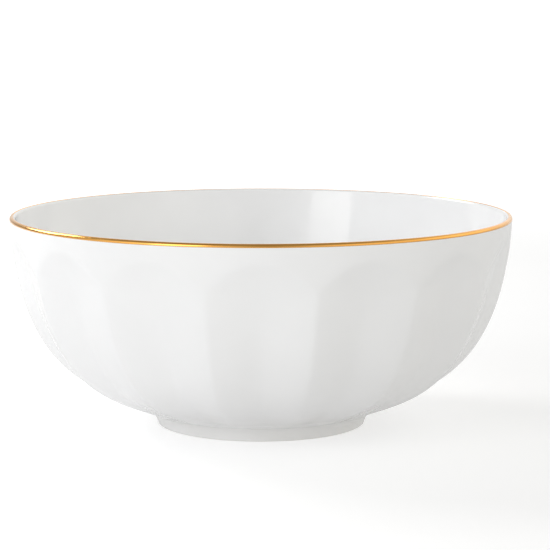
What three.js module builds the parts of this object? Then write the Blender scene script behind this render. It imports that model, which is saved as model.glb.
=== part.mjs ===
// A fluted porcelain serving bowl with a luted foot ring and a gilt lip.
//
// Units are millimetres. The origin is the centre of the plane that the foot
// stands on, +Z is up, and -Y is the front, where one flute faces squarely out.
// The outer wall is a round surface with scooped flutes: each flute has an
// arched top below the plain band under the lip, and the ridges between the
// flutes run down to the foot.

import * as THREE from 'three';

// Driving dimensions.
const DIAMETER = 235;
const HEIGHT = 99;
const FOOT_DIAMETER = 98;
const FOOT_HEIGHT = 6.2;
const FLOOR_HEIGHT = 10.4;
const LIP_THICKNESS = 2.8;
const FLUTE_COUNT = 15;
const FLUTE_DEPTH = 5.2;
const INNER_FLUTE_SHARE = 0.3;
const ARCH_TOP_BELOW_LIP = 8.5;
const ARCH_FOOT_BELOW_LIP = 22;
const GILT_THICKNESS = 0.3;

// Facets round the axis. The wall's count is a multiple of the flutes and of
// four, so that every ridge and valley has a line of vertices and the bowl's
// width is exact along X and Y.
const WALL_FACETS = FLUTE_COUNT * 8;
const FOOT_FACETS = 60;

// The two outlines of the wall run from the foot and from the floor up to the lip.
const RADIUS = DIAMETER / 2;
const LIP_RADIUS = LIP_THICKNESS / 2;
const LIP_CENTRE = new THREE.Vector2(RADIUS - LIP_RADIUS, HEIGHT - LIP_RADIUS);
const JOINT_RADIUS = 52;
const FLOOR_RADIUS = 36;
const OUTER_ROWS = 20;
const INNER_ROWS = 10;
const LIP_STEPS = 6;

// The gilding covers the lip from just below its outermost line, over the top,
// to this many steps of the lip's half circle.
const GILT_SKIRT = 0.3;
const GILT_STEPS = 4;

// The flutes fade out over this distance outside the joint with the foot, and
// outside the flat floor.
const FLUTE_FADE = 8;

/** A plain colour and gloss for one piece. */
function finish(color, roughness, metalness) {
  return new THREE.MeshStandardMaterial({ color, roughness, metalness });
}

/** A point at a distance from an end point, in the direction of an angle above the horizontal. */
function handle(end, length, degrees) {
  const angle = THREE.MathUtils.degToRad(degrees);
  return new THREE.Vector2(
    end.x + length * Math.cos(angle),
    end.y + length * Math.sin(angle),
  );
}

/** The outline of the wall's outside at the ridges, from the foot joint up to the lip. */
function outerOutline() {
  const low = new THREE.Vector2(JOINT_RADIUS, FOOT_HEIGHT);
  const high = new THREE.Vector2(RADIUS, LIP_CENTRE.y);
  return new THREE.CubicBezierCurve(low, handle(low, 28, 22), handle(high, 75, 267), high);
}

/** The outline of the wall's inside, from the edge of the flat floor up to the lip. */
function innerOutline() {
  const low = new THREE.Vector2(FLOOR_RADIUS, FLOOR_HEIGHT);
  const high = new THREE.Vector2(RADIUS - LIP_THICKNESS, LIP_CENTRE.y);
  return new THREE.CubicBezierCurve(low, handle(low, 28, 0), handle(high, 76, 263), high);
}

/**
 * How far the wall is scooped back towards the axis at a point of a smooth outline.
 * Across a flute, the position runs from 0 on its centre line to 1 on the ridges.
 * Below the arch's top, the scoop widens as a parabola until it meets its
 * neighbours on the ridges, and its hollow turns from round to a soft V.
 */
function scoopDepth(radius, height, angle, plainRadius) {
  const belowTop = HEIGHT - ARCH_TOP_BELOW_LIP - height;
  if (belowTop <= 0) {
    return 0;
  }
  const turn = angle * FLUTE_COUNT / (2 * Math.PI) + 0.5;
  const across = Math.abs(2 * (turn - Math.floor(turn)) - 1);
  const descent = belowTop / (ARCH_FOOT_BELOW_LIP - ARCH_TOP_BELOW_LIP);
  const halfWidth = Math.min(1, Math.sqrt(descent));
  if (across >= halfWidth) {
    return 0;
  }
  const softness = 0.2 + 0.8 * Math.exp(-descent);
  const rise = Math.hypot(across / halfWidth, softness) - softness;
  const hollow = 1 - rise / (Math.hypot(1, softness) - softness);
  const growth = 1 - Math.exp(-descent);
  const fade = THREE.MathUtils.smoothstep(radius, plainRadius, plainRadius + FLUTE_FADE);
  return FLUTE_DEPTH * (radius / RADIUS) * growth * hollow * fade;
}

/**
 * Points on an arc round the lip's centre. Step 0 is the lip's outermost line,
 * and the last step is its innermost one.
 */
function lipArc(radius, fromStep, toStep) {
  const points = [];
  const direction = Math.sign(toStep - fromStep);
  for (let step = fromStep; step !== toStep + direction; step += direction) {
    const angle = Math.PI * step / LIP_STEPS;
    points.push(new THREE.Vector2(
      LIP_CENTRE.x + radius * Math.cos(angle),
      LIP_CENTRE.y + radius * Math.sin(angle),
    ));
  }
  return points;
}

/** Turns a closed outline of radius and height round the vertical axis. */
function turned(outline, facets) {
  const geometry = new THREE.LatheGeometry(outline, facets);
  geometry.rotateX(Math.PI / 2);
  return geometry;
}

/** The bowl's wall and floor as one fired piece, with a recess at the lip for the gilding. */
function bowlBody() {
  const outer = outerOutline();
  const inner = innerOutline();
  const recessRadius = LIP_RADIUS - GILT_THICKNESS;
  const outline = [new THREE.Vector2(0, FOOT_HEIGHT)];
  const plainRadii = [null];
  const add = (point, plainRadius) => {
    outline.push(point);
    plainRadii.push(plainRadius);
  };

  // Up the outside to the lower edge of the gilding.
  const skirt = skirtPoints();
  for (let row = 0; row < OUTER_ROWS; row += 1) {
    add(outer.getPointAt(row / OUTER_ROWS), JOINT_RADIUS);
  }
  add(skirt.outer, null);

  // Over the lip, under the gilding.
  add(skirt.inner, null);
  for (const point of lipArc(recessRadius, 0, GILT_STEPS)) {
    add(point, null);
  }

  // Down the inside to the floor.
  for (const point of lipArc(LIP_RADIUS, GILT_STEPS, LIP_STEPS)) {
    add(point, null);
  }
  for (let row = 1; row <= INNER_ROWS; row += 1) {
    add(inner.getPointAt(1 - row / INNER_ROWS), FLOOR_RADIUS);
  }
  add(new THREE.Vector2(0, FLOOR_HEIGHT), null);

  const geometry = turned(outline, WALL_FACETS);
  scoopFlutes(geometry, outline, plainRadii);
  return geometry;
}

/** Moves each vertex of the turned wall towards the axis by the depth of its flute. */
function scoopFlutes(geometry, outline, plainRadii) {
  const position = geometry.getAttribute('position');
  for (let i = 0; i < position.count; i += 1) {
    const row = i % outline.length;
    const plainRadius = plainRadii[row];
    if (plainRadius === null) {
      continue;
    }
    const share = plainRadius === FLOOR_RADIUS ? INNER_FLUTE_SHARE : 1;
    const radius = outline[row].x;
    const height = outline[row].y;
    const facet = Math.floor(i / outline.length);
    const angle = 2 * Math.PI * facet / WALL_FACETS;
    const scooped = radius - share * scoopDepth(radius, height, angle, plainRadius);
    position.setXY(
      i,
      position.getX(i) * scooped / radius,
      position.getY(i) * scooped / radius,
    );
  }
}

/** The outer and inner corners of the gilding's lower edge, on the outside of the lip. */
function skirtPoints() {
  const height = LIP_CENTRE.y - GILT_SKIRT;
  return {
    outer: new THREE.Vector2(RADIUS, height),
    inner: new THREE.Vector2(RADIUS - GILT_THICKNESS, height),
  };
}

/** The fired-on gold band that wraps the lip. */
function giltBand() {
  const skirt = skirtPoints();
  const outline = [
    skirt.inner,
    skirt.outer,
    ...lipArc(LIP_RADIUS, 0, GILT_STEPS),
    ...lipArc(LIP_RADIUS - GILT_THICKNESS, GILT_STEPS, 0),
    skirt.inner,
  ];
  return turned(outline, WALL_FACETS);
}

/** The foot ring: a flat annulus to stand on, with a flared outside and a plain inside. */
function footRing() {
  const outerRadius = FOOT_DIAMETER / 2;
  const bottomInner = outerRadius - 3.4;
  const edge = 0.7;
  const outline = [
    new THREE.Vector2(bottomInner, 0),
    new THREE.Vector2(outerRadius - edge, 0),
    new THREE.Vector2(outerRadius, edge / 2),
    new THREE.Vector2(outerRadius + 1.4, FOOT_HEIGHT * 0.4),
    new THREE.Vector2(JOINT_RADIUS - 0.4, FOOT_HEIGHT - 1.2),
    new THREE.Vector2(JOINT_RADIUS, FOOT_HEIGHT),
    new THREE.Vector2(bottomInner - 1.6, FOOT_HEIGHT),
    new THREE.Vector2(bottomInner - 0.6, edge),
    new THREE.Vector2(bottomInner, 0),
  ];
  return turned(outline, FOOT_FACETS);
}

const bowl = new THREE.Group();

/** Adds one named piece to the bowl. */
function addPiece(name, geometry, material) {
  const mesh = new THREE.Mesh(geometry, material);
  mesh.name = name;
  bowl.add(mesh);
}

addPiece('bowl_body', bowlBody(), finish(0xf4f4f2, 0.12, 0));
addPiece('foot_ring', footRing(), finish(0xf0efec, 0.15, 0));
addPiece('gilt_band', giltBand(), finish(0xc8913c, 0.2, 1));

export default bowl;
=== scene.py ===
# A fluted porcelain serving bowl with a gilt lip, on a pale studio floor.
#
# Lengths are worked out in millimetres and the meshes are written in metres.
# Every outline is a list of (radius, height) points turned round the Z axis,
# and -Y is the front, where one flute faces squarely out.

import math

import bpy
import numpy as np
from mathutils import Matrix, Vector


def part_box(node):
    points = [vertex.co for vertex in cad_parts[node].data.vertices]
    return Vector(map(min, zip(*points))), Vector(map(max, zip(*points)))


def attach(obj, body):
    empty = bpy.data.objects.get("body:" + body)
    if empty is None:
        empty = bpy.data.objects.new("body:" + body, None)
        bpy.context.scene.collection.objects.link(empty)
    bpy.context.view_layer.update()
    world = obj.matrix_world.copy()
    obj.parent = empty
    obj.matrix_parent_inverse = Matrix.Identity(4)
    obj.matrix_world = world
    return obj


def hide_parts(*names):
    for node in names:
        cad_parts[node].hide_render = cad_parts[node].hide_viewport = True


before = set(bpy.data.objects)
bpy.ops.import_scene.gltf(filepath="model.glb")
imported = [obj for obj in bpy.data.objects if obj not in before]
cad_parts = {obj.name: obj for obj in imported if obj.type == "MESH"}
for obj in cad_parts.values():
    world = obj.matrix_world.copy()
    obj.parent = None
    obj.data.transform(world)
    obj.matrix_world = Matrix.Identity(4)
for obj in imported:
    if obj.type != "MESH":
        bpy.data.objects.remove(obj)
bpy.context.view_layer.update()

MM = 0.001

# Sizes read from the frame.
GILT_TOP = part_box("gilt_band")[1]
FOOT_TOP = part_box("foot_ring")[1]
RIM_RADIUS = GILT_TOP[0] / MM
HEIGHT = GILT_TOP[2] / MM
JOINT_RADIUS = FOOT_TOP[0] / MM
FOOT_HEIGHT = FOOT_TOP[2] / MM

# The wall: a smooth outline outside and inside, joined by a half-round lip.
LIP_THICKNESS = 2.8
LIP_RADIUS = LIP_THICKNESS / 2
LIP_CENTRE = np.array([RIM_RADIUS - LIP_RADIUS, HEIGHT - LIP_RADIUS])
FLOOR_RADIUS = 36
FLOOR_HEIGHT = 10.4

# The wall's outlines are curves whose ends leave in these directions: length, then degrees
# above the horizontal.
OUTSIDE_AT_FOOT = (28, 22)
OUTSIDE_AT_LIP = (75, 267)
INSIDE_AT_FLOOR = (28, 0)
INSIDE_AT_LIP = (76, 263)

# The flutes: scoops with arched tops that meet on ridges.
FLUTE_COUNT = 15
FLUTE_DEPTH = 5.2
INNER_FLUTE_SHARE = 0.3
ARCH_TOP = HEIGHT - 8.5
ARCH_FOOT = HEIGHT - 22
FLUTE_FADE = 8
RIDGE_SOFTNESS = 1.1
INNER_RIDGE_SOFTNESS = 2

# The gilding is a film over the lip's outer side and top, in degrees round the lip. Its
# two edges waver by a few degrees and are feathered over a share of its width.
FILM = 0.04
GILT_FROM = -12
GILT_TO = 112
GILT_WAVER_BELOW = 1.5
GILT_WAVER_INSIDE = 2.5
GILT_FEATHER = 1 / 12

# The foot ring's flat face runs between two radii, and its edges are rounded. Its outside
# runs a little way up the wall as a fillet, and its top is hidden inside the body.
FOOT_INNER = 45.6
FOOT_OUTER = 48.3
FOOT_EDGE = 0.7
FOOT_EDGE_POINTS = 6
FILLET_OUT = 2.2
FILLET_UP = 1.05
FOOT_HIDDEN = 1.4
FOOT_BASE_IN = 3

# The studio. A radiance of 1 looks white. Directions are given as degrees round to the
# right of the front, and degrees above the horizon.
ROOM_LIGHT = 0.33
GLOW_SHARPNESS = 8
GLOWS = (
    # direction, radiance
    ((-90, 17), 0.3),
    ((-45, 17), 1.5),
    ((45, 17), 0.9),
    ((100, 22), 1.0),
    ((140, 20), 0.6),
    ((180, 17), 0.7),
)
SOFTBOX_DISTANCE = 1.6
SOFTBOXES = (
    # name, direction, width and height in metres, radiance
    ("softbox_front_left", (-37, 21), (0.6, 1.1), 1.7),
    ("softbox_back_left", (-125, 33), (0.72, 0.62), 7.5),
)

# The room's light is tinted cool on the left and warm on the right.
COOL_LIGHT = (0.955, 0.97, 1.0)
WARM_LIGHT = (1.0, 0.985, 0.93)

# The floor is lit from below, in metres from the bowl's axis: its glow differs on the left
# and right of the bowl, and blends between them, and changes to another far off.
FLOOR_GLOW_LEFT = 0.33
FLOOR_GLOW_RIGHT = 0.16
FLOOR_GLOW_FAR = 0.5
FLOOR_GLOW_TURNS_WITHIN = 0.2
FLOOR_GLOW_NEAR_TO = 0.6
FLOOR_GLOW_FAR_FROM = 1.5
FLOOR_OVEREXPOSURE = 0.25
FLOOR_ROUGHNESS = 0.8
FLOOR_HALF_WIDTH = 30.0

# The camera, in metres, degrees and millimetres. The aim is an offset from the bowl's middle.
CAMERA_DISTANCE = 1.066
CAMERA_ELEVATION = 9.0
CAMERA_AIM_RIGHT = 0.0066
CAMERA_AIM_UP = 0.020
CAMERA_SENSOR = 36
CAMERA_LENS = 147.6
CAMERA_CLIP_END = 100

# The glaze, the gold and the colours. A pair is the lighter and the darker shade, or the
# least and the most roughness. Depths of a bump and the height of the bare edge are in
# millimetres.
GLAZE_IOR = 1.52
GLAZE_ROUGHNESS = (0.055, 0.1)
WAVE_DEPTH = 0.02
PEEL_DEPTH = 0.001
BARE_ROUGHNESS = 0.6
GOLD_ROUGHNESS = (0.1, 0.2)
GOLD_STREAK_DEPTH = 0.006
COAT_WEIGHT = 0.35
COAT_ROUGHNESS = 0.08
CHINA = ((0.9, 0.9, 0.9), (0.885, 0.885, 0.885))
# The foot's china is a touch darker than the body's, which is painted shade where the foot stands by the
# floor, and a touch warmer.
FOOT_CHINA_PAINTED_SHADE = ((0.885, 0.88, 0.87), (0.87, 0.865, 0.85))
BARE_CHINA = (0.86, 0.845, 0.81)
BARE_BELOW = 0.35
GOLD = ((0.86, 0.45, 0.12), (0.8, 0.39, 0.09))
FLOOR = ((0.61, 0.61, 0.61), (0.59, 0.59, 0.59))
WHITE = (1, 1, 1)

# Plain rings of the body's flat underside and of its flat floor.
UNDERSIDE_RINGS = (15, 30, 42, 48)
FLOOR_RINGS = (28, 20, 10)

# Mesh density.
SEGMENTS = 32 * FLUTE_COUNT
OUTER_ROWS = 120
INNER_ROWS = 60
LIP_ROWS = 16
GILT_ROWS = 15
CURVE_SAMPLES = 40


# ---------------------------------------------------------------- outlines

def polar(centre, length, degrees):
    """The point at a distance from a centre, in the direction of an angle above the horizontal."""
    angle = math.radians(degrees)
    return np.array(centre) + length * np.array([math.cos(angle), math.sin(angle)])


def bezier(start, start_handle, end_handle, end, count):
    """Points evenly spaced along a cubic curve, both ends included."""
    t = np.linspace(0, 1, CURVE_SAMPLES * count)[:, None]
    curve = (1 - t) ** 3 * start + 3 * (1 - t) ** 2 * t * start_handle
    curve = curve + 3 * (1 - t) * t ** 2 * end_handle + t ** 3 * end
    steps = np.hypot(*np.diff(curve, axis=0).T)
    along = np.concatenate([[0], np.cumsum(steps)])
    even = np.linspace(0, along[-1], count)
    return np.stack([np.interp(even, along, curve[:, k]) for k in (0, 1)], axis=1)


def arc(centre, radius, start, end, count):
    """Points on an arc, between two angles in degrees."""
    return np.array([polar(centre, radius, a) for a in np.linspace(start, end, count)])


def outer_outline():
    """The wall's outside at the ridges, from the foot joint up to the lip's outermost line."""
    low = np.array([JOINT_RADIUS, FOOT_HEIGHT])
    high = np.array([RIM_RADIUS - FILM, LIP_CENTRE[1]])
    return bezier(low, polar(low, *OUTSIDE_AT_FOOT), polar(high, *OUTSIDE_AT_LIP), high, OUTER_ROWS)


def inner_outline():
    """The wall's inside at the ridges, from the lip down to the edge of the flat floor."""
    high = np.array([RIM_RADIUS - LIP_THICKNESS + FILM, LIP_CENTRE[1]])
    low = np.array([FLOOR_RADIUS, FLOOR_HEIGHT])
    return bezier(high, polar(high, *INSIDE_AT_LIP), polar(low, *INSIDE_AT_FLOOR), low, INNER_ROWS)


def foot_outline():
    """The foot ring, closed: its flared outside runs out into the wall, and its inside into the base."""
    outer_low = np.array([FOOT_OUTER + FOOT_EDGE, FOOT_EDGE])
    joint = np.array([JOINT_RADIUS + FILLET_OUT, FOOT_HEIGHT + FILLET_UP])
    outside = bezier(outer_low, polar(outer_low, 4, 72), polar(joint, 2.4, 205), joint, 18)
    inner_low = np.array([FOOT_INNER - FOOT_EDGE, FOOT_EDGE])
    base = np.array([FOOT_INNER - FOOT_BASE_IN, FOOT_HEIGHT + 0.1])
    inside = bezier(base, polar(base, 1.8, 0), polar(inner_low, 3.4, 96), inner_low, 14)
    hidden = FOOT_HEIGHT + FOOT_HIDDEN
    return np.concatenate([
        arc([FOOT_OUTER, FOOT_EDGE], FOOT_EDGE, -90, 0, FOOT_EDGE_POINTS)[:-1],
        outside,
        [[JOINT_RADIUS, hidden], [FOOT_INNER - 2, hidden]],
        inside,
        arc([FOOT_INNER, FOOT_EDGE], FOOT_EDGE, 180, 270, FOOT_EDGE_POINTS)[1:],
    ])


# ---------------------------------------------------------------- flutes

def scoop_depth(outline, fade_from):
    """How far each point of the turned outline is scooped back: one row per outline point.

    Across a flute, the position runs from 0 on its centre line to 1 on the ridges.
    Below the arch's top, the scoop widens as a parabola until it meets its
    neighbours on the ridges, and its hollow turns from round to a soft V.
    """
    radius = outline[:, :1]
    height = outline[:, 1:]
    turn = np.arange(SEGMENTS)[None, :] * FLUTE_COUNT / SEGMENTS + 0.5
    across = np.abs(2 * (turn - np.floor(turn)) - 1)
    descent = np.maximum(0, (ARCH_TOP - height) / (ARCH_TOP - ARCH_FOOT))
    half_width = np.maximum(1e-6, np.minimum(1, np.sqrt(descent)))
    place = np.minimum(1, across / half_width)
    softness = 0.2 + 0.8 * np.exp(-descent)
    rise = np.hypot(place, softness) - softness
    hollow = 1 - rise / (np.hypot(1, softness) - softness)
    growth = 1 - np.exp(-descent)
    fade = np.clip((radius - fade_from) / FLUTE_FADE, 0, 1)
    fade = fade * fade * (3 - 2 * fade)
    return FLUTE_DEPTH * radius / RIM_RADIUS * growth * hollow * fade


def bell(sigma, spacing):
    """The weights of a smoothing kernel, sigma and spacing in the same unit."""
    reach = max(1, math.ceil(3 * sigma / spacing))
    weights = np.exp(-0.5 * (np.arange(-reach, reach + 1) * spacing / sigma) ** 2)
    return weights / weights.sum()


def soften(depth, outline, sigma):
    """Rounds the ridges and the arches' edges of a depth map, as the glaze does."""
    row_spacing = np.hypot(*np.diff(outline, axis=0).T).mean()
    down = bell(sigma, row_spacing)
    reach = len(down) // 2
    padded = np.pad(depth, ((reach, reach), (0, 0)), mode="edge")
    depth = sum(w * padded[k:k + len(depth)] for k, w in enumerate(down))
    softened = np.empty_like(depth)
    for row, radius in enumerate(outline[:, 0]):
        round_about = bell(sigma, 2 * math.pi * radius / SEGMENTS)
        shifts = range(-(len(round_about) // 2), len(round_about) // 2 + 1)
        softened[row] = sum(w * np.roll(depth[row], s) for w, s in zip(round_about, shifts))
    return softened


# ---------------------------------------------------------------- meshes

def turned_points(outline, depth=0):
    """The outline at every segment, moved towards the axis by the depth: rows x segments x 3, in mm."""
    angle = 2 * math.pi * np.arange(SEGMENTS) / SEGMENTS
    radius = outline[:, :1] - depth
    height = np.broadcast_to(outline[:, 1:], (len(outline), SEGMENTS))
    return np.stack([radius * np.sin(angle), -radius * np.cos(angle), height], axis=2)


def grid_faces(rows, closed):
    """Quads between neighbouring rows; a closed outline also joins its last row to its first."""
    faces = []
    for row in range(rows if closed else rows - 1):
        this = row * SEGMENTS
        after = (row + 1) % rows * SEGMENTS
        for k in range(SEGMENTS):
            following = (k + 1) % SEGMENTS
            faces.append((this + k, this + following, after + following, after + k))
    return faces


def make_piece(name, points, faces):
    """A smooth-shaded mesh object from points in millimetres."""
    mesh = bpy.data.meshes.new(name)
    mesh.from_pydata((np.asarray(points) * MM).tolist(), [], faces)
    mesh.update()
    mesh.shade_smooth()
    piece = bpy.data.objects.new(name, mesh)
    bpy.context.scene.collection.objects.link(piece)
    return piece


def make_body():
    """The china wall and floor in one skin, closed by a point on the axis below and above."""
    under = np.array([[r, FOOT_HEIGHT] for r in UNDERSIDE_RINGS])
    outer = outer_outline()
    lip = arc(LIP_CENTRE, LIP_RADIUS - FILM, 0, 180, LIP_ROWS + 1)[1:-1]
    inner = inner_outline()
    floor = np.array([[r, FLOOR_HEIGHT] for r in FLOOR_RINGS])
    outer_scoop = soften(scoop_depth(outer, JOINT_RADIUS), outer, RIDGE_SOFTNESS)
    inner_scoop = soften(scoop_depth(inner, FLOOR_RADIUS), inner, INNER_RIDGE_SOFTNESS)
    rows = np.concatenate([
        turned_points(under),
        turned_points(outer, outer_scoop),
        turned_points(lip),
        turned_points(inner, INNER_FLUTE_SHARE * inner_scoop),
        turned_points(floor),
    ])
    points = rows.reshape(-1, 3).tolist()
    faces = grid_faces(len(rows), closed=False)
    last = (len(rows) - 1) * SEGMENTS
    base_centre = len(points)
    points.append([0, 0, FOOT_HEIGHT])
    floor_centre = len(points)
    points.append([0, 0, FLOOR_HEIGHT])
    for k in range(SEGMENTS):
        following = (k + 1) % SEGMENTS
        faces.append((base_centre, following, k))
        faces.append((floor_centre, last + k, last + following))
    return make_piece("china_body", points, faces)


def make_foot():
    """The luted foot ring."""
    rows = turned_points(foot_outline())
    return make_piece("china_foot", rows.reshape(-1, 3), grid_faces(len(rows), closed=True))


def make_gilding():
    """The gold film: full over the lip and feathered out at its two slightly wavering edges."""
    angle = 2 * math.pi * np.arange(SEGMENTS) / SEGMENTS
    waver = 0.6 * np.sin(3 * angle + 0.8) + 0.4 * np.sin(7 * angle + 2.1)
    place = np.linspace(0, 1, GILT_ROWS)[:, None]
    start = GILT_FROM + GILT_WAVER_BELOW * waver
    end = GILT_TO + GILT_WAVER_INSIDE * waver[::-1]
    around = np.radians(start + (end - start) * place)
    film = FILM * np.minimum(1, np.minimum(place, 1 - place) / GILT_FEATHER)
    skins = []
    for lift in (film, 0 * film - FILM):
        radius = LIP_RADIUS - FILM + lift
        out = LIP_CENTRE[0] + radius * np.cos(around)
        up = LIP_CENTRE[1] + radius * np.sin(around)
        skins.append(np.stack([out * np.sin(angle), -out * np.cos(angle), up], axis=2))
    rows = np.concatenate([skins[0], skins[1][::-1]])
    return make_piece("gilt_film", rows.reshape(-1, 3), grid_faces(len(rows), closed=True))


# ---------------------------------------------------------------- materials

def new_material(name):
    """A node material: (material, nodes, links, its Principled shader)."""
    material = bpy.data.materials.new(name)
    material.use_nodes = True
    tree = material.node_tree
    return material, tree.nodes, tree.links, tree.nodes["Principled BSDF"]


def noise(nodes, links, scale, detail=2.0, stretch=(1, 1, 1)):
    """A noise texture's factor in object space, with the scale in features per metre."""
    place = nodes.new("ShaderNodeTexCoord")
    mapping = nodes.new("ShaderNodeMapping")
    mapping.inputs["Scale"].default_value = stretch
    texture = nodes.new("ShaderNodeTexNoise")
    texture.inputs["Scale"].default_value = scale
    texture.inputs["Detail"].default_value = detail
    links.new(place.outputs["Object"], mapping.inputs["Vector"])
    links.new(mapping.outputs["Vector"], texture.inputs["Vector"])
    return texture.outputs["Fac"]


def spread(nodes, links, factor, low, high):
    """A factor stretched to run from low to high."""
    change = nodes.new("ShaderNodeMapRange")
    change.inputs["From Min"].default_value = 0.3
    change.inputs["From Max"].default_value = 0.7
    change.inputs["To Min"].default_value = low
    change.inputs["To Max"].default_value = high
    links.new(factor, change.inputs["Value"])
    return change.outputs["Result"]


def blend_colours(nodes, links, factor, first, second):
    """A colour that runs from the first to the second with the factor."""
    mix = nodes.new("ShaderNodeMix")
    mix.data_type = "RGBA"
    mix.inputs["A"].default_value = (*first, 1)
    mix.inputs["B"].default_value = (*second, 1)
    links.new(factor, mix.inputs["Factor"])
    return mix.outputs["Result"]


def bump(nodes, links, height, depth_mm, normal=None):
    """A bump of the given depth from a height factor."""
    node = nodes.new("ShaderNodeBump")
    node.inputs["Strength"].default_value = 1.0
    node.inputs["Distance"].default_value = depth_mm * MM
    links.new(height, node.inputs["Height"])
    if normal is not None:
        links.new(normal, node.inputs["Normal"])
    return node.outputs["Normal"]


def glaze_material(name, shades, bare_below_mm=None):
    """White china under a clear glaze: faint cloudiness, a soft waviness and a fine orange peel.

    Where bare_below_mm is given, the china is unglazed and duller up to that height.
    """
    material, nodes, links, shader = new_material(name)
    cloud = noise(nodes, links, 45, 3)
    colour = blend_colours(nodes, links, spread(nodes, links, cloud, 0, 1), *shades)
    roughness = spread(nodes, links, noise(nodes, links, 110, 2), *GLAZE_ROUGHNESS)
    if bare_below_mm is not None:
        bare = below(nodes, links, bare_below_mm)
        colour = mix_linked(nodes, links, bare, colour, BARE_CHINA)
        roughness = mix_values(nodes, links, bare, roughness, BARE_ROUGHNESS)
    links.new(colour, shader.inputs["Base Color"])
    links.new(roughness, shader.inputs["Roughness"])
    wave = bump(nodes, links, noise(nodes, links, 45, 1), WAVE_DEPTH)
    peel = bump(nodes, links, noise(nodes, links, 500, 1), PEEL_DEPTH, wave)
    links.new(peel, shader.inputs["Normal"])
    shader.inputs["IOR"].default_value = GLAZE_IOR
    shader.inputs["Coat Weight"].default_value = COAT_WEIGHT
    shader.inputs["Coat Roughness"].default_value = COAT_ROUGHNESS
    return material


def below(nodes, links, height_mm):
    """1 below a height and 0 above it, with a narrow blend."""
    place = nodes.new("ShaderNodeTexCoord")
    split = nodes.new("ShaderNodeSeparateXYZ")
    step = nodes.new("ShaderNodeMapRange")
    step.inputs["From Min"].default_value = (height_mm - 0.1) * MM
    step.inputs["From Max"].default_value = (height_mm + 0.1) * MM
    step.inputs["To Min"].default_value = 1
    step.inputs["To Max"].default_value = 0
    links.new(place.outputs["Object"], split.inputs["Vector"])
    links.new(split.outputs["Z"], step.inputs["Value"])
    return step.outputs["Result"]


def mix_linked(nodes, links, factor, colour, other):
    """A linked colour that gives way to a plain one with the factor."""
    mix = nodes.new("ShaderNodeMix")
    mix.data_type = "RGBA"
    mix.inputs["B"].default_value = (*other, 1)
    links.new(factor, mix.inputs["Factor"])
    links.new(colour, mix.inputs["A"])
    return mix.outputs["Result"]


def mix_values(nodes, links, factor, value, other):
    """A linked number that gives way to a plain one with the factor."""
    mix = nodes.new("ShaderNodeMix")
    mix.data_type = "FLOAT"
    mix.inputs["B"].default_value = other
    links.new(factor, mix.inputs["Factor"])
    links.new(value, mix.inputs["A"])
    return mix.outputs["Result"]


def gold_material():
    """Burnished gold fired on by hand: brush streaks along the lip, thin and warm in places."""
    material, nodes, links, shader = new_material("gilding")
    patch = noise(nodes, links, 60, 3)
    colour = blend_colours(nodes, links, spread(nodes, links, patch, 0, 1), *GOLD)
    links.new(colour, shader.inputs["Base Color"])
    roughness = spread(nodes, links, noise(nodes, links, 260, 2), *GOLD_ROUGHNESS)
    links.new(roughness, shader.inputs["Roughness"])
    streaks = noise(nodes, links, 900, 2, stretch=(0.08, 0.08, 1))
    links.new(bump(nodes, links, streaks, GOLD_STREAK_DEPTH), shader.inputs["Normal"])
    shader.inputs["Metallic"].default_value = 1.0
    return material


def floor_material():
    """A pale matt floor lit from below, brighter on the left of the bowl and far away.

    The camera sees it overexposed.
    """
    material, nodes, links, shader = new_material("studio_floor")
    grain = noise(nodes, links, 25, 4)
    colour = blend_colours(nodes, links, grain, *FLOOR)
    links.new(colour, shader.inputs["Base Color"])
    shader.inputs["Roughness"].default_value = FLOOR_ROUGHNESS
    place = nodes.new("ShaderNodeTexCoord")
    split = nodes.new("ShaderNodeSeparateXYZ")
    links.new(place.outputs["Object"], split.inputs["Vector"])
    near = nodes.new("ShaderNodeMapRange")
    near.inputs["From Min"].default_value = -FLOOR_GLOW_TURNS_WITHIN
    near.inputs["From Max"].default_value = FLOOR_GLOW_TURNS_WITHIN
    near.inputs["To Min"].default_value = FLOOR_GLOW_LEFT
    near.inputs["To Max"].default_value = FLOOR_GLOW_RIGHT
    links.new(split.outputs["X"], near.inputs["Value"])
    distance = nodes.new("ShaderNodeVectorMath")
    distance.operation = "LENGTH"
    links.new(place.outputs["Object"], distance.inputs[0])
    glow = nodes.new("ShaderNodeMapRange")
    glow.interpolation_type = "SMOOTHSTEP"
    glow.inputs["From Min"].default_value = FLOOR_GLOW_NEAR_TO
    glow.inputs["From Max"].default_value = FLOOR_GLOW_FAR_FROM
    glow.inputs["To Max"].default_value = FLOOR_GLOW_FAR
    links.new(near.outputs["Result"], glow.inputs["To Min"])
    links.new(distance.outputs["Value"], glow.inputs["Value"])
    rays = nodes.new("ShaderNodeLightPath")
    seen = nodes.new("ShaderNodeMath")
    seen.operation = "MULTIPLY_ADD"
    seen.inputs[1].default_value = FLOOR_OVEREXPOSURE
    links.new(rays.outputs["Is Camera Ray"], seen.inputs[0])
    links.new(glow.outputs["Result"], seen.inputs[2])
    shader.inputs["Emission Color"].default_value = (*WHITE, 1)
    links.new(seen.outputs["Value"], shader.inputs["Emission Strength"])
    return material


# ---------------------------------------------------------------- studio

def make_panel(name, corners, material):
    """A flat stage panel from its four corners, in metres."""
    mesh = bpy.data.meshes.new(name)
    mesh.from_pydata(corners, [], [(0, 1, 2, 3)])
    panel = bpy.data.objects.new(name, mesh)
    bpy.context.scene.collection.objects.link(panel)
    panel.data.materials.append(material)
    return panel


def make_floor():
    """A large plane under the foot."""
    half = FLOOR_HALF_WIDTH
    corners = [(-half, -half, 0), (half, -half, 0), (half, half, 0), (-half, half, 0)]
    make_panel("studio_floor", corners, floor_material())


def towards(direction):
    """A unit vector, from degrees round to the right of the front and degrees above the horizon."""
    azimuth, elevation = (math.radians(a) for a in direction)
    level = math.cos(elevation)
    return Vector((level * math.sin(azimuth), -level * math.cos(azimuth), math.sin(elevation)))


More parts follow.
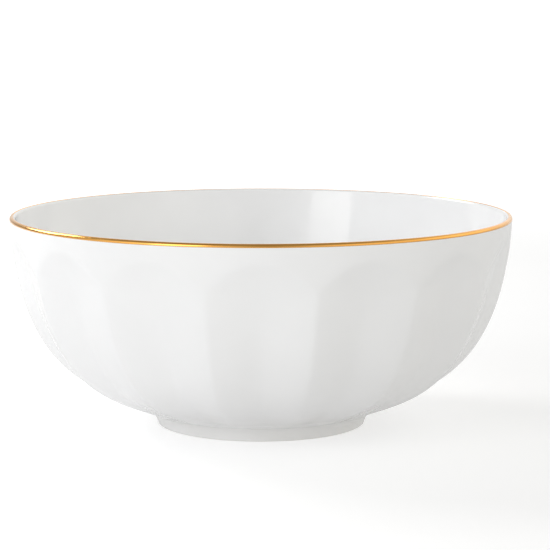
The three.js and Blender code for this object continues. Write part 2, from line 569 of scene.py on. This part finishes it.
def make_world():
    """A dim room with soft glows round it, cool on the left and warm on the right.

    The camera sees a plain pale room instead.
    """
    world = bpy.data.worlds.new("studio")
    bpy.context.scene.world = world
    world.use_nodes = True
    nodes = world.node_tree.nodes
    links = world.node_tree.links
    place = nodes.new("ShaderNodeTexCoord")

    def facing(direction):
        """The cosine between the view and a direction."""
        product = nodes.new("ShaderNodeVectorMath")
        product.operation = "DOT_PRODUCT"
        product.inputs[1].default_value = towards(direction)
        links.new(place.outputs["Generated"], product.inputs[0])
        return product.outputs["Value"]

    def calculate(operation, *terms):
        """A math node on linked or plain numbers."""
        node = nodes.new("ShaderNodeMath")
        node.operation = operation
        for term, socket in zip(terms, node.inputs):
            if isinstance(term, (int, float)):
                socket.default_value = term
            else:
                links.new(term, socket)
        return node.outputs["Value"]

    strength = ROOM_LIGHT
    for direction, radiance in GLOWS:
        front = calculate("MAXIMUM", facing(direction), 0.0)
        falloff = calculate("POWER", front, GLOW_SHARPNESS)
        strength = calculate("MULTIPLY_ADD", falloff, radiance, strength)
    rays = nodes.new("ShaderNodeLightPath")
    seen = rays.outputs["Is Camera Ray"]
    unseen = calculate("SUBTRACT", 1.0, seen)
    strength = calculate("MULTIPLY_ADD", strength, unseen, seen)

    side = calculate("MULTIPLY_ADD", facing((90, 0)), 0.5, 0.5)
    tint = blend_colours(nodes, links, side, COOL_LIGHT, WARM_LIGHT)
    tint = mix_linked(nodes, links, seen, tint, WHITE)
    background = nodes["Background"]
    links.new(tint, background.inputs["Color"])
    links.new(strength, background.inputs["Strength"])


def make_softbox(name, direction, size, radiance):
    """A rectangular light that faces the bowl's middle. Radiance 1 looks white."""
    light = bpy.data.lights.new(name, "AREA")
    light.shape = "RECTANGLE"
    light.size = size[0]
    light.size_y = size[1]
    light.energy = radiance * math.pi * size[0] * size[1]
    lamp = bpy.data.objects.new(name, light)
    lamp.location = MIDDLE + SOFTBOX_DISTANCE * towards(direction)
    lamp.rotation_euler = (-towards(direction)).to_track_quat("-Z", "Y").to_euler()
    lamp.visible_camera = False
    bpy.context.scene.collection.objects.link(lamp)


def make_camera():
    """A long lens a little above the lip, aimed so that the bowl sits left of and below the middle."""
    elevation = math.radians(CAMERA_ELEVATION)
    camera = bpy.data.cameras.new("camera")
    camera.sensor_width = CAMERA_SENSOR
    camera.lens = CAMERA_LENS
    camera.clip_end = CAMERA_CLIP_END
    eye = bpy.data.objects.new("camera", camera)
    offset = Vector((0, -math.cos(elevation), math.sin(elevation))) * CAMERA_DISTANCE
    eye.location = MIDDLE + offset
    up = Vector((0, math.sin(elevation), math.cos(elevation)))
    aim = MIDDLE + Vector((CAMERA_AIM_RIGHT, 0, 0)) + CAMERA_AIM_UP * up
    eye.rotation_euler = (aim - eye.location).to_track_quat("-Z", "Y").to_euler()
    bpy.context.scene.collection.objects.link(eye)
    bpy.context.scene.camera = eye


# ---------------------------------------------------------------- the scene

MIDDLE = Vector((0, 0, HEIGHT * MM / 2))

make_camera()
bpy.context.scene.view_settings.view_transform = "Standard"
make_floor()
make_world()
for name, direction, size, radiance in SOFTBOXES:
    make_softbox(name, direction, size, radiance)

china = glaze_material("china_glaze", CHINA)
# The foot's material carries painted shade: its china is a touch darker than the body's.
foot_china_painted_shade = glaze_material("foot_glaze", FOOT_CHINA_PAINTED_SHADE, bare_below_mm=BARE_BELOW)
gold = gold_material()

for piece, node, slot, material in (
    (make_body(), "bowl_body", "body_glaze", china),
    (make_foot(), "foot_ring", "foot_glaze", foot_china_painted_shade),
    (make_gilding(), "gilt_band", "gilding", gold),
):
    piece.data.materials.append(material)
    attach(piece, "root")
    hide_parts(node)
